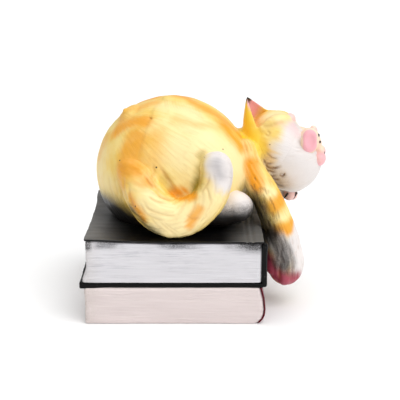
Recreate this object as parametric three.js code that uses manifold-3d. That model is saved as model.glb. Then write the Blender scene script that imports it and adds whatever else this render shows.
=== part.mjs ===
// Ceramic figurine: a cat asleep on two stacked books, with a mouse on its muzzle.
// Millimetres, +Z up. X runs from the fore-edge of the books to their spine, where the
// cat's head is. Y runs from the side where the tail lies to the far side.
// The origin is the centre of the underside of the books.
//
// Every form is a function of how far it is grown outwards. A form is drawn at zero growth,
// and it cuts its neighbours grown by the joint gap, so two forms never overlap.

import * as THREE from 'three';
import { mergeVertices } from 'three/addons/utils/BufferGeometryUtils.js';
import Module from 'manifold-3d';

const wasm = await Module();
wasm.setup();

// ---- Driving dimensions ----------------------------------------------------------------

const GAP = 0.3;                 // joint between two neighbouring forms
const WALL = 4.5;                // thickness of the cast ceramic wall

const BOOK_WIDTH = 160;          // fore-edge to spine
const BOOK_DEPTH = 164;          // head to tail of the page block
const LOWER_PAGES_TOP = 35.5;
const BOTTOM_BOARD_TOP = 41;
const UPPER_PAGES_TOP = 74.5;
const STACK_HEIGHT = 78;         // the cat lies at this height
const PAGE_INSET = 1.2;          // boards stand out past the pages on three sides
const FORE_EDGE_OVERHANG = 5.5;    // bottom board of the upper book past the page blocks
const SPINE_THICKNESS = 2.6;
const HINGE_GROOVE_WIDTH = 3;
const HINGE_GROOVE_DEPTH = 1;
const HINGE_GROOVE_OFFSETS = [12, 17];    // from the spine edge of the top board

const VENT_RADIUS = 9;           // lets air out of the casting
const VENT_OFFSET = -38;         // along X, so that the origin lies on material
const CAVITY_THROAT_RADIUS = 22; // where the hollow of the books meets the hollow of the cat
const NECK_THROAT_RADIUS = 13;   // where the hollow of the body meets the hollow of the head

const BODY_CENTRE = [-3, 3, 121];
const BODY_RADII = [72.5, 64, 70.5];
const HEAD_CENTRE = [95, 14, 143];
const HEAD_RADII = [29, 38, 34];

// ---- Colours -----------------------------------------------------------------------------

const PAINT = {
  yellow: { color: 0xf2cf6b, roughness: 0.42 },
  white: { color: 0xe9e4e2, roughness: 0.4 },
  pink: { color: 0xe9949c, roughness: 0.4 },
  toe: { color: 0x9c3a4c, roughness: 0.4 },
  peach: { color: 0xf4cfae, roughness: 0.4 },
  black: { color: 0x121214, roughness: 0.25 },
  cover: { color: 0x1b1a1c, roughness: 0.35 },
  burgundy: { color: 0x6e1426, roughness: 0.4 },
  upperPages: { color: 0xe6e6ea, roughness: 0.6 },
  lowerPages: { color: 0xecdcdc, roughness: 0.6 },
};

// ---- Solids --------------------------------------------------------------------------------

const vector = ([x, y, z]) => new THREE.Vector3(x, y, z);

function toSolid(geometry) {
  const bare = geometry.clone();
  bare.deleteAttribute('normal');
  bare.deleteAttribute('uv');
  const merged = mergeVertices(bare, 1e-4);
  return new wasm.Manifold(new wasm.Mesh({
    numProp: 3,
    vertProperties: new Float32Array(merged.attributes.position.array),
    triVerts: new Uint32Array(merged.index.array),
  }));
}

// A box from its lowest corner to its highest.
function block(low, high) {
  const size = vector(high).sub(vector(low));
  const middle = vector(low).add(vector(high)).multiplyScalar(0.5);
  const geometry = new THREE.BoxGeometry(size.x, size.y, size.z);
  geometry.translate(middle.x, middle.y, middle.z);
  return toSolid(geometry);
}

// A round bar between two points.
function bar(from, to, radius) {
  const axis = vector(to).sub(vector(from));
  const geometry = new THREE.CylinderGeometry(radius, radius, axis.length(), 24);
  const turn = new THREE.Quaternion();
  turn.setFromUnitVectors(new THREE.Vector3(0, 1, 0), axis.clone().normalize());
  geometry.applyQuaternion(turn);
  const middle = vector(from).addScaledVector(axis, 0.5);
  geometry.translate(middle.x, middle.y, middle.z);
  return toSolid(geometry);
}

// The unseen inside of a hollow form needs fewer facets than its outside.
const CORE_COARSENESS = 0.6;

// An ellipsoid, optionally turned by Euler angles in degrees.
function blob(centre, radii, turn = [0, 0, 0], segments = 14) {
  return (grow = 0) => {
    const sides = grow < 0 ? Math.round(segments * CORE_COARSENESS) : segments;
    const geometry = new THREE.SphereGeometry(1, sides, Math.round(sides * 0.65));
    geometry.scale(radii[0] + grow, radii[1] + grow, radii[2] + grow);
    const angles = turn.map(THREE.MathUtils.degToRad);
    geometry.applyQuaternion(new THREE.Quaternion().setFromEuler(new THREE.Euler(...angles)));
    geometry.translate(...centre);
    return toSolid(geometry);
  };
}

// A round-ended limb along a smooth curve. The poles of a sphere become its two ends, so it
// is closed. Radii are spread evenly along the curve, and each end is rounded over END_SHARE.
const END_SHARE = 0.13;

function limb(points, radii, rings, sides = 12) {
  return (grow = 0) => {
    const curve = new THREE.CatmullRomCurve3(points.map(vector));
    const frames = curve.computeFrenetFrames(rings);
    const geometry = new THREE.SphereGeometry(1, sides, rings);
    const positions = geometry.attributes.position;
    const place = new THREE.Vector3();
    for (let index = 0; index < positions.count; index += 1) {
      const ring = Math.floor(index / (sides + 1));
      const share = ring / rings;
      const around = new THREE.Vector2(positions.getX(index), positions.getZ(index)).normalize();
      const radius = (spread(radii, share) + grow) * endRounding(share);
      curve.getPointAt(share, place);
      place.addScaledVector(frames.normals[ring], around.x * radius);
      place.addScaledVector(frames.binormals[ring], around.y * radius);
      place.addScaledVector(frames.tangents[ring], grow * (2 * share - 1));
      positions.setXYZ(index, place.x, place.y, place.z);
    }
    return toSolid(geometry);
  };
}

function spread(values, share) {
  const at = share * (values.length - 1);
  const low = Math.min(Math.floor(at), values.length - 2);
  return THREE.MathUtils.lerp(values[low], values[low + 1], at - low);
}

function endRounding(share) {
  const fromEnd = Math.min(share, 1 - share) / END_SHARE;
  if (fromEnd >= 1) return 1;
  return Math.sqrt(Math.max(0, 1 - (1 - fromEnd) ** 2));
}

// An ear: a flattened cone with a scoop out of the side that it opens to.
function ear(base, tip, width, opening) {
  return (grow = 0) => {
    const up = vector(tip).sub(vector(base));
    const height = up.length();
    up.normalize();
    const side = new THREE.Vector3().crossVectors(up, vector(opening)).normalize();
    const facing = new THREE.Vector3().crossVectors(side, up);
    const basis = new THREE.Matrix4().makeBasis(side, up, facing);
    basis.setPosition(vector(base));
    const shell = new THREE.ConeGeometry(width / 2 + grow, height + 2 * grow, 18);
    shell.translate(0, height / 2, 0);
    shell.scale(1, 1, 0.55);
    shell.applyMatrix4(basis);
    if (grow > 0) return toSolid(shell);
    const scoop = new THREE.ConeGeometry(width * 0.4, height * 0.95, 14);
    scoop.translate(0, height * 0.46, width * 0.27);
    scoop.scale(1, 1, 0.62);
    scoop.applyMatrix4(basis);
    return toSolid(shell).subtract(toSolid(scoop));
  };
}

function largestPiece(solid) {
  const pieces = solid.decompose();
  return pieces.reduce((best, piece) => (piece.volume() > best.volume() ? piece : best));
}

// ---- Books ---------------------------------------------------------------------------------

const foreEdge = -BOOK_WIDTH / 2;
const spineEdge = BOOK_WIDTH / 2;
const nearEdge = -BOOK_DEPTH / 2;
const farEdge = BOOK_DEPTH / 2;

function pageBlock(bottom, top) {
  const low = [foreEdge + PAGE_INSET, nearEdge + PAGE_INSET / 2, bottom];
  const high = [spineEdge - GAP, farEdge - PAGE_INSET / 2, top];
  const hollow = block(
    [low[0] + WALL, low[1] + WALL, bottom - 1],
    [high[0] - WALL, high[1] - WALL, top + 1],
  );
  return block(low, high).subtract(hollow);
}

function lowerPages() {
  const floor = block(
    [foreEdge + PAGE_INSET, nearEdge + PAGE_INSET / 2, 0],
    [spineEdge - GAP, farEdge - PAGE_INSET / 2, WALL],
  );
  const vent = bar([VENT_OFFSET, 0, -1], [VENT_OFFSET, 0, WALL + 1], VENT_RADIUS);
  return pageBlock(0, LOWER_PAGES_TOP - GAP).add(floor).subtract(vent);
}

function board(bottom, top, overhang) {
  const plate = block([foreEdge - overhang, nearEdge, bottom], [spineEdge, farEdge, top]);
  const [x, y] = BODY_CENTRE;
  return plate.subtract(bar([x, y, bottom - 1], [x, y, top + 1], CAVITY_THROAT_RADIUS));
}

function topBoard() {
  const plate = board(UPPER_PAGES_TOP, STACK_HEIGHT, 0);
  const grooves = HINGE_GROOVE_OFFSETS.map((offset) => block(
    [spineEdge - offset, nearEdge - 1, STACK_HEIGHT - HINGE_GROOVE_DEPTH],
    [spineEdge - offset + HINGE_GROOVE_WIDTH, farEdge + 1, STACK_HEIGHT + 1],
  ));
  return grooves.reduce((solid, groove) => solid.subtract(groove), plate);
}

function spine(bottom, top) {
  const inner = spineEdge + GAP;
  return block([inner, nearEdge + 1, bottom], [inner + SPINE_THICKNESS, farEdge - 1, top]);
}

// ---- Cat and mouse ---------------------------------------------------------------------------

const body = blob(BODY_CENTRE, BODY_RADII, [0, 0, 0], 28);
const head = blob(HEAD_CENTRE, HEAD_RADII, [0, 0, 0], 18);

const tail = limb(
  [[-42, -24, 136], [-34, -44, 128], [-26, -57, 114], [-14, -63, 101], [3, -65, 96],
    [20, -66, 102], [32, -66, 115], [38, -63, 131], [38, -59, 151]],
  [14, 17, 18, 18, 18, 16.5, 14, 12.5, 12],
  18,
);

const nearForeleg = limb(
  [[62, -20, 140], [76, -27, 122], [88, -33, 102], [96, -36, 84], [100, -36, 66],
    [102.5, -35, 48], [104, -34, 33], [105, -34, 20]],
  [16, 15.5, 15.5, 15.5, 15.5, 15.5, 16, 15],
  16,
);

const farForeleg = limb(
  [[52, 38, 108], [72, 42, 99], [92, 40, 94], [107, 36, 92.5], [119, 34, 91.5]],
  [16, 15, 13, 10.5, 9],
  12,
);

// Forms in order of precedence: each is trimmed by the ones before it that it meets.
// A form with a hollow is cast with a wall; the others are small enough to be solid.
const FORMS = [
  { name: 'cat_body', shape: body, hollow: true, paint: 'yellow' },
  { name: 'tail', shape: tail, hollow: true, paint: 'yellow' },
  { name: 'neck', shape: blob([70, 10, 124], [30, 36, 36]), hollow: true, paint: 'yellow' },
  { name: 'head', shape: head, hollow: true, paint: 'yellow' },
  { name: 'near_foreleg', shape: nearForeleg, hollow: true, paint: 'yellow' },
  { name: 'near_cheek', shape: blob([109, 2, 130], [29, 26, 29.5], [0, 0, 0], 18), paint: 'white' },
  { name: 'far_cheek', shape: blob([108, 36, 122], [26, 21, 26]), paint: 'white' },
  { name: 'far_foreleg', shape: farForeleg, hollow: true, paint: 'yellow' },
  { name: 'chin', shape: blob([112, 14, 107], [15, 17, 11]), paint: 'white' },
  { name: 'near_hind_paw', shape: blob([57, -47, 98], [14, 17, 19.5]), paint: 'white' },
  { name: 'far_hind_paw', shape: blob([50, 56, 94], [17, 17, 17]), paint: 'white' },
  { name: 'near_ear', shape: ear([80, 2, 157], [66.4, 2, 190.7], 40, [0.5, 0.75, 0.3]), paint: 'yellow' },
  { name: 'far_ear', shape: ear([86, 42, 154], [70, 51, 175], 34, [0.6, 0.5, 0.3]), paint: 'yellow' },
  { name: 'near_eyelid', shape: blob([111, 18, 167], [8, 10, 6], [0, 35, 0], 14), paint: 'pink' },
  { name: 'far_eyelid', shape: blob([113, 40, 152], [8, 10, 6], [0, 45, 0], 14), paint: 'pink' },
  { name: 'nose', shape: blob([133, 16, 133], [5, 7, 5], [0, 0, 0], 14), paint: 'pink' },
  { name: 'near_toe_inner', shape: blob([90, -38, 41], [6, 8, 9], [0, 0, 0], 14), paint: 'toe' },
  { name: 'near_toe_middle', shape: blob([103, -45, 30], [8, 8, 12], [0, 0, 0], 14), paint: 'toe' },
  { name: 'near_toe_outer', shape: blob([113, -35, 34], [7, 8, 12], [0, 0, 0], 14), paint: 'toe' },
  { name: 'far_toe_inner', shape: blob([115, 26, 89], [6, 6, 6], [0, 0, 0], 14), paint: 'pink' },
  { name: 'far_toe_outer', shape: blob([116, 40, 89], [6, 6, 6], [0, 0, 0], 14), paint: 'pink' },
];

const MOUSE = [
  { name: 'mouse_body', shape: blob([118, 21, 145], [14, 18, 13]), paint: 'peach' },
  { name: 'mouse_head', shape: blob([125.5, -3, 149.5], [10, 11.5, 12.5]), paint: 'peach' },
  { name: 'mouse_snout', shape: blob([135.5, -5, 136.5], [6.2, 8, 9.5], [0, -12, 0], 12), paint: 'pink' },
  { name: 'mouse_near_ear', shape: blob([124.7, -16, 152], [6.8, 4, 9.8], [0, 0, 15], 12), paint: 'pink' },
  { name: 'mouse_far_ear', shape: blob([130, 10, 156], [4, 5, 6], [0, 0, 0], 12), paint: 'pink' },
  { name: 'mouse_near_eye', shape: blob([131.3, -9.8, 156.8], [1.6, 1.6, 1.6], [0, 0, 0], 8), paint: 'black' },
  { name: 'mouse_far_eye', shape: blob([134, -8, 149.8], [1.6, 1.6, 1.6], [0, 0, 0], 8), paint: 'black' },
];

// The hollow of the cat: every hollow form drawn a wall thinner, with the throat of the neck.
function cavity() {
  const cores = FORMS.filter((form) => form.hollow).map((form) => form.shape(-WALL));
  const throat = bar(BODY_CENTRE, HEAD_CENTRE, NECK_THROAT_RADIUS);
  const well = bar([BODY_CENTRE[0], BODY_CENTRE[1], STACK_HEIGHT - 10], BODY_CENTRE, CAVITY_THROAT_RADIUS);
  return cores.reduce((solid, core) => solid.add(core), throat.add(well));
}

// ---- Assembly ----------------------------------------------------------------------------------

function material(paint) {
  return new THREE.MeshStandardMaterial({ metalness: 0, ...PAINT[paint] });
}

// A mesh whose own origin is the middle of its form.
function toMesh(name, solid, paint) {
  const { vertProperties, triVerts } = solid.getMesh();
  const geometry = new THREE.BufferGeometry();
  geometry.setAttribute('position', new THREE.BufferAttribute(vertProperties, 3));
  geometry.setIndex(new THREE.BufferAttribute(triVerts, 1));
  geometry.computeBoundingBox();
  const middle = geometry.boundingBox.getCenter(new THREE.Vector3());
  geometry.translate(-middle.x, -middle.y, -middle.z);
  const mesh = new THREE.Mesh(geometry, material(paint));
  mesh.name = name;
  mesh.position.copy(middle);
  return mesh;
}

function makeBooks() {
  const books = new THREE.Group();
  books.add(toMesh('lower_book_pages', lowerPages(), 'lowerPages'));
  books.add(toMesh('lower_book_spine', spine(1, LOWER_PAGES_TOP - GAP), 'burgundy'));
  books.add(toMesh(
    'upper_book_bottom_board',
    board(LOWER_PAGES_TOP, BOTTOM_BOARD_TOP - GAP, FORE_EDGE_OVERHANG),
    'cover',
  ));
  books.add(toMesh('upper_book_pages', pageBlock(BOTTOM_BOARD_TOP, UPPER_PAGES_TOP - GAP), 'upperPages'));
  books.add(toMesh('upper_book_spine', spine(LOWER_PAGES_TOP, STACK_HEIGHT - 1), 'cover'));
  books.add(toMesh('upper_book_top_board', topBoard(), 'cover'));
  return books;
}

function touches(a, b) {
  const first = a.boundingBox();
  const second = b.boundingBox();
  return [0, 1, 2].every((i) => first.min[i] < second.max[i] && second.min[i] < first.max[i]);
}

// Trims each form by the space of the books and by the forms before it, then hollows it.
function makeForms(forms, before, hollow) {
  const group = new THREE.Group();
  const keepOut = block(
    [2 * foreEdge, 2 * nearEdge, -1],
    [spineEdge + 2 * GAP + SPINE_THICKNESS, 2 * farEdge, STACK_HEIGHT + GAP],
  );
  for (const form of forms) {
    let solid = form.shape().subtract(keepOut);
    for (const other of before) {
      if (touches(solid, other)) solid = solid.subtract(other);
    }
    if (form.hollow) solid = solid.subtract(hollow);
    group.add(toMesh(form.name, largestPiece(solid), form.paint));
    before.push(form.shape(GAP));
  }
  return group;
}

const figurine = new THREE.Group();
const placed = [];
figurine.add(makeBooks());
figurine.add(makeForms(FORMS, placed, cavity()));
figurine.add(makeForms(MOUSE, placed, null));

export default figurine;
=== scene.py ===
"""Looks of a painted ceramic figurine: a cat asleep on two stacked books, a mouse on its muzzle.

The cat and the mouse are sculpted as distance fields and meshed, so that neighbouring forms run
into each other as they do on one casting. The fur is then combed into the surface, and the
airbrushed colours are masks on the mesh that the material mixes with its own grain.
Lengths in this file are millimetres, except where a name ends in _M.
"""
import itertools
import math

import bpy
import numpy as np
import openvdb
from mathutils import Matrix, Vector


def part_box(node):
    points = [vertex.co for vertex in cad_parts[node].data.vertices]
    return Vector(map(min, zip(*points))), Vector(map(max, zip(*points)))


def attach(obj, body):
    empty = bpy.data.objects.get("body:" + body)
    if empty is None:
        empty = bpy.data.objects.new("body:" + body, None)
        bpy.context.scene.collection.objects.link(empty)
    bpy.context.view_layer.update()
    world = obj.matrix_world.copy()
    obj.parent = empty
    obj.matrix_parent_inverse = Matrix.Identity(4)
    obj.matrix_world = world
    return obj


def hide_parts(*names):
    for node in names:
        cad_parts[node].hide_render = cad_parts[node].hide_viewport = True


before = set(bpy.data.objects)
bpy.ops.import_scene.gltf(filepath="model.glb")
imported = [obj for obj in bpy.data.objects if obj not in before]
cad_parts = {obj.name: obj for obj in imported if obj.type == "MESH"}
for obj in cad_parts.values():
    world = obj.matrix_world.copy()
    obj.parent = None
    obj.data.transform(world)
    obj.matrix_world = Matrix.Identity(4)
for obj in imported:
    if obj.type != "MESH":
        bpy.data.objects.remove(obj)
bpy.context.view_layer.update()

MM = 0.001
CAT_VOXEL = 0.8
MOUSE_VOXEL = 0.45

SHELF = 78.0            # top of the books, where the cat lies
SINK = 0.4              # how far a form is let into what it stands on


# ---- Noise ----

def lattice_values(cell, seed):
    """A fixed pseudo-random number from -1 to 1 for each lattice point."""
    x, y, z = (cell[..., i].astype(np.uint64) for i in range(3))
    mixed = x * np.uint64(73856093) ^ y * np.uint64(19349663) ^ z * np.uint64(83492791)
    mixed ^= np.uint64(seed * 2654435761 % 2**32)
    mixed = (mixed ^ (mixed >> np.uint64(13))) * np.uint64(1274126177)
    mixed = mixed ^ (mixed >> np.uint64(16))
    return (mixed & np.uint64(0xFFFF)).astype(np.float32) / 32767.5 - 1.0


def noise(points, seed=0):
    """Smooth noise from -1 to 1, one lattice cell to the unit."""
    cell = np.floor(points)
    part = (points - cell).astype(np.float32)
    part = part * part * (3 - 2 * part)
    cell = cell.astype(np.int64)
    total = np.zeros(points.shape[:-1], np.float32)
    for corner in itertools.product((0, 1), repeat=3):
        weight = np.ones_like(total)
        for axis, side in enumerate(corner):
            weight *= part[..., axis] if side else 1 - part[..., axis]
        total += weight * lattice_values(cell + np.array(corner), seed)
    return total


def smoothstep(low, high, value):
    share = np.clip((value - low) / (high - low), 0, 1)
    return share * share * (3 - 2 * share)


# ---- Distance fields ----
# A form is (distance function, lowest corner, highest corner).

def rotation(turn):
    """Rotation matrix for Euler angles in degrees, X first."""
    x, y, z = (math.radians(angle) for angle in turn)
    about_x = np.array([[1, 0, 0], [0, math.cos(x), -math.sin(x)], [0, math.sin(x), math.cos(x)]])
    about_y = np.array([[math.cos(y), 0, math.sin(y)], [0, 1, 0], [-math.sin(y), 0, math.cos(y)]])
    about_z = np.array([[math.cos(z), -math.sin(z), 0], [math.sin(z), math.cos(z), 0], [0, 0, 1]])
    return about_z @ about_y @ about_x


def ellipsoid(centre, radii, turn=(0, 0, 0)):
    centre, radii, matrix = np.array(centre, float), np.array(radii, float), rotation(turn)

    def distance(points):
        local = (points - centre) @ matrix
        near = np.sqrt(np.sum((local / radii) ** 2, axis=-1))
        slope = np.sqrt(np.sum((local / radii**2) ** 2, axis=-1)) + 1e-9
        return near * (near - 1) / slope

    reach = np.sqrt((matrix**2) @ (radii**2))
    return distance, centre - reach, centre + reach


def smooth_curve(points, per_span=5):
    """A Catmull-Rom curve through the points, as a polyline."""
    points = np.array(points, float)
    padded = np.vstack([2 * points[0] - points[1], points, 2 * points[-1] - points[-2]])
    spots = []
    for span in range(len(points) - 1):
        a, b, c, d = padded[span:span + 4]
        for step in range(per_span):
            t = step / per_span
            spots.append(0.5 * (2 * b + (c - a) * t + (2 * a - 5 * b + 4 * c - d) * t**2
                                + (3 * b - a - 3 * c + d) * t**3))
    return np.vstack(spots + [points[-1]])


def along_curve(points, curve):
    """Distance to a polyline, the share of its length at the nearest spot, and that spot."""
    points, curve = points.astype(np.float32), curve.astype(np.float32)
    lengths = np.linalg.norm(np.diff(curve, axis=0), axis=1)
    starts = np.concatenate([[0], np.cumsum(lengths)])
    best = np.full(points.shape[:-1], np.inf, np.float32)
    reach = np.zeros_like(best)
    for start, end, before, length in zip(curve[:-1], curve[1:], starts, lengths):
        step = end - start
        offset = points - start
        t = np.clip(offset @ (step / length**2), 0, 1)
        offset -= t[..., None] * step
        gap = np.einsum("...i,...i->...", offset, offset)
        closer = gap < best
        np.copyto(best, gap, where=closer)
        np.copyto(reach, before + t * length, where=closer)
    spot = np.stack([np.interp(reach, starts, curve[:, i]) for i in range(curve.shape[1])], axis=-1)
    return np.sqrt(best), reach / starts[-1], spot


def limb(points, radii):
    """A round-ended limb whose radii are spread evenly along a curve."""
    curve = smooth_curve(points, 3)
    stations = np.linspace(0, 1, len(radii))
    reach = max(radii) + 1

    def distance(spots):
        gap, share, _ = along_curve(spots, curve)
        return gap - np.interp(share, stations, radii)

    return distance, curve.min(axis=0) - reach, curve.max(axis=0) + reach


EAR_BOW = 1.5           # how far the back of an ear bows out
EAR_RIM = 1.2           # how round its rim is
EAR_FOOT = 0.15         # how far it runs on below its base, as a share of its height
EAR_THINNEST = 0.3      # half the width of the cup at its tip


def ear(base, tip, facing, width, depth, wall):
    """A pointed, cupped ear. It opens towards facing."""
    base, tip, facing = (np.array(v, float) for v in (base, tip, facing))
    up = tip - base
    height = np.linalg.norm(up)
    up /= height
    side = np.cross(up, facing)
    side /= np.linalg.norm(side)
    front = np.cross(side, up)

    def cross_section(across, out, half_width, half_depth):
        ratio = np.sqrt((across / half_width) ** 2 + (out / half_depth) ** 2)
        return (ratio - 1) * np.minimum(half_width, half_depth)

    def distance(points):
        local = points - base
        across, rise, out = local @ side, local @ up, local @ front
        level = np.clip(rise / height, -0.05, 0.995)
        half_width = width / 2 * np.power(1 - level, 0.8)
        half_depth = depth / 2 * (1 - level)
        out = out + EAR_BOW * np.sin(math.pi * np.clip(level, 0, 1))
        outer = np.maximum(cross_section(across, out, half_width, half_depth), rise - height)
        outer = np.maximum(outer, -rise - EAR_FOOT * height)
        inner_width = np.maximum(half_width - wall, EAR_THINNEST)
        inner_depth = np.maximum(half_depth * 1.25, EAR_THINNEST)
        inner = cross_section(across, out - half_depth * 0.62, inner_width, inner_depth)
        inner = np.maximum(inner, -(rise - height * 0.02))
        return smooth_maximum(outer, -inner, EAR_RIM)

    corners = np.vstack([base, tip])
    return distance, corners.min(axis=0) - width * 0.7, corners.max(axis=0) + width * 0.5


def smooth_minimum(a, b, blend):
    """The lesser of two fields, rounded where they cross."""
    if blend <= 0:
        return np.minimum(a, b)
    share = np.clip(0.5 + 0.5 * (b - a) / blend, 0, 1)
    return b + (a - b) * share - blend * share * (1 - share)


def smooth_maximum(a, b, blend):
    return -smooth_minimum(-a, -b, blend)


def joined(blend, *forms):
    """Forms that run into each other."""
    def distance(points):
        total = forms[0][0](points)
        for form in forms[1:]:
            total = smooth_minimum(total, form[0](points), blend)
        return total

    low = np.min([form[1] for form in forms], axis=0)
    high = np.max([form[2] for form in forms], axis=0)
    return distance, low, high


def dented(blend, form, *cutters):
    """A form with others pressed into it."""
    def distance(points):
        total = form[0](points)
        for cutter in cutters:
            total = smooth_maximum(total, -cutter[0](points), blend)
        return total

    return distance, form[1], form[2]


# ---- The sculpt ----

TAIL_LINE = [(-42, -24, 136), (-34, -44, 128), (-26, -58, 114), (-14, -65, 101), (3, -67.5, 95.5),
             (20, -67, 102), (32, -66, 115), (37, -63, 130), (37, -60, 139.5)]
NEAR_LEG_LINE = [(65, -16, 147), (70, -22, 131), (76, -27, 119), (82.5, -31, 107.5), (91, -35, 89),
                 (98, -36, 67), (101.5, -35, 48), (103, -34, 34)]
FAR_LEG_LINE = [(52, 38, 108), (72, 42, 99), (90, 40, 95), (101, 36, 93.5), (107, 34, 92)]


def body_form():
    barrel = ellipsoid((-3, 3, 121), (72, 63.5, 70))
    haunch = ellipsoid((16, -11, 125), (52, 52.5, 56))
    far_haunch = ellipsoid((14, 16, 120), (52, 52, 54))
    rump_tuft = ellipsoid((-43, -4, 177), (9, 12, 4), (0, -38, 0))
    back_tuft = ellipsoid((1, -4, 189), (12, 10, 3.4), (0, 8, 0))
    lock = limb([(-38, -7, 178), (-46, -8, 180)], [4, 2])
    smooth = joined(3, barrel, haunch, far_haunch)
    return joined(3, joined(4, smooth, rump_tuft, back_tuft), lock)


def head_form():
    skull = ellipsoid((94, 14, 142), (27, 37, 33))
    near_brow = limb([(82, -8, 163), (92, -5, 168), (101, 2, 168), (107, 8, 165)], [4, 6.5, 6.5, 5])
    far_brow = limb([(86, 40, 160), (96, 38, 164), (104, 34, 164), (109, 28, 162)], [4, 6.5, 6.5, 5])
    bridge = limb([(100, 17, 157), (113, 16, 150), (125, 15, 141)], [9, 9, 8])
    return joined(4, skull, near_brow, far_brow, bridge)


def near_foreleg_form():
    leg = limb(NEAR_LEG_LINE, [8, 9.8, 12.3, 13.5, 14.5, 15.6, 17, 14.5])
    paw = ellipsoid((102.5, -36, 42), (16.5, 14.5, 17))
    return joined(6, leg, paw)


def hind_paw_form():
    """The hind foot lies along the book, its toes to the right."""
    foot = limb([(34, -42, 95), (46, -45, 97), (55, -47, 99.5)], [16, 16, 14.5])
    toes = limb([(57, -36, 98), (60, -44, 99), (59, -52, 97)], [9, 10, 8.5])
    return joined(5, foot, toes)


def far_toe_form(centre, reach):
    toe = ellipsoid(centre, (5.6, 6, 5.6))
    x, y, z = centre
    nail = limb([(x + reach + 1.5, y - 4.5, z + 2.5), (x + reach - 2.5, y - 5.5, z - 3)], [1.2, 0.6])
    return joined(0.6, toe, nail)


# name, form, how softly it runs into the forms before it
CAT_FORMS = [
    ("cat_body", body_form(), 0),
    ("neck", ellipsoid((70, 10, 124), (30, 36, 36)), 6),
    ("head", head_form(), 6),
    ("near_cheek", ellipsoid((109, 2, 130), (28.6, 26, 29.5)), 5),
    ("far_cheek", ellipsoid((108, 36, 122), (26, 21, 26)), 5),
    ("chin", ellipsoid((112, 15, 107), (15, 17, 11)), 5),
    ("tail", limb(TAIL_LINE, [14, 17, 18, 18.4, 18.6, 17.2, 15.6, 14.8, 14.3]), 3),
    ("near_foreleg", near_foreleg_form(), 3),
    ("far_foreleg", limb(FAR_LEG_LINE, [16, 15, 12.5, 10, 8.4]), 3),
    ("near_hind_paw", hind_paw_form(), 2),
    ("far_hind_paw", ellipsoid((50, 56, 94), (17, 17, 17)), 2),
    ("near_ear", ear((84.5, 12, 152), (66, 3, 190.9), (0.93, -0.36, 0.3), 60, 46, 2.2), 3),
    ("far_ear", ear((86, 40, 152), (73, 57, 173), (0.93, 0.2, 0.3), 44, 32, 2.2), 3),
    ("near_eyelid", ellipsoid((107.8, 8, 169.2), (5, 6.5, 4.6), (0, 35, 0)), 1.5),
    ("far_eyelid", ellipsoid((111, 32, 161), (5, 7, 4.6), (0, 40, 0)), 1.5),
    ("nose", ellipsoid((133.5, 15, 133), (5, 7, 5)), 1.5),
    ("near_toe_inner", ellipsoid((91.5, -40, 41), (7.8, 8, 10.5)), 1.2),
    ("near_toe_middle", ellipsoid((101.5, -42, 32), (7.5, 8.5, 10.5)), 1.2),
    ("near_toe_outer", ellipsoid((111, -35, 34), (7, 8.5, 10.5)), 1.2),
    ("far_toe_inner", far_toe_form((110, 26, 89), -3.2), 1.2),
    ("far_toe_outer", far_toe_form((113.4, 31, 88), 2.7), 1.2),
]

MOUSE_FORMS = [
    ("mouse_body", ellipsoid((118, 21, 145), (14, 18, 13)), 0),
    ("mouse_head", joined(2, ellipsoid((125, -3, 150), (10.5, 11.5, 12.5)),
                          ellipsoid((131, -5, 147), (5.5, 6, 7))), 3),
    ("mouse_snout", joined(2, ellipsoid((135.2, -5, 141.5), (5, 7, 5)),
                           ellipsoid((133.6, -6.5, 134.5), (7, 7.5, 7.5))), 1.2),
    ("mouse_near_ear", dented(1.2, ellipsoid((124, -15, 153), (8.8, 4.5, 12.2), (0, 0, 15)),
                              ellipsoid((125.8, -24.5, 153.4), (8.0, 7.4, 11), (0, 0, 15))), 1),
    ("mouse_far_ear", ellipsoid((130, 10, 156), (4, 5, 6)), 1),
    ("mouse_near_eye", ellipsoid((132.6, -9.3, 157), (1.2, 1.4, 1.6)), 0),
    ("mouse_far_eye", ellipsoid((134.2, -10, 150.8), (1.0, 1.3, 1.4)), 0),
]

HANGING = {"near_foreleg", "near_toe_inner", "near_toe_middle", "near_toe_outer"}  # below the shelf
MARGIN = 8.0            # how far round a form its field is worked out
OVERLAP = 1.3           # how far a form runs on under its neighbour
DIVE = 0.6              # how steeply it goes under


def field_window(low, high, floor, voxel):
    """The first and last grid points of a box with its margin."""
    first = np.floor((low - MARGIN - floor) / voxel).astype(int).clip(0)
    last = np.ceil((high + MARGIN - floor) / voxel).astype(int)
    return first, last


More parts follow.
